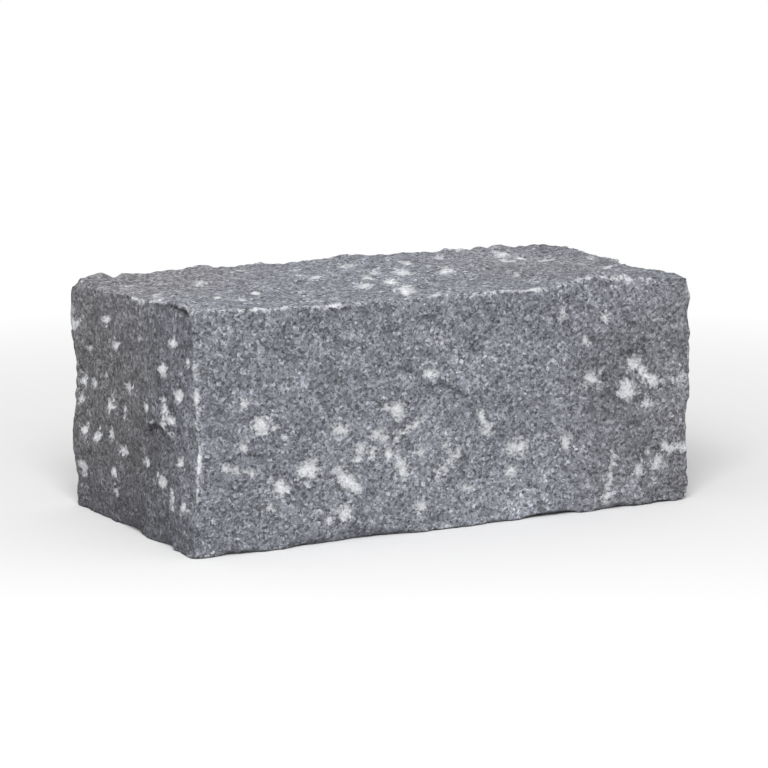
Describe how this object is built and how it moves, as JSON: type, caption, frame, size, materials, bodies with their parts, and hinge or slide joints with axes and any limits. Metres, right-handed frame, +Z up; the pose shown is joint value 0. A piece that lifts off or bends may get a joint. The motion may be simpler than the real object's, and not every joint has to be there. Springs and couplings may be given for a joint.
{
  "type": "natural stone wall block",
  "caption": "Split granite block for dry-laid garden and retaining walls, with undulating hand-dressed faces, spalled arrises and a flat bed.",
  "frame": {"origin": "middle of the flat bed that the block lies on, under the middle of its overall box", "axes": "+X along the wall, to the right seen from the wall's face; +Y into the wall; +Z up; the wall's face looks towards -Y"},
  "size_m": [0.3998, 0.1956, 0.1728],
  "materials": {
    "granite": "split dark grey granite, matt, salt-and-pepper grain with white bruised pick marks"
  },
  "bodies": {
    "root": {"stone_block": "granite"}
  },
  "joints": []
}
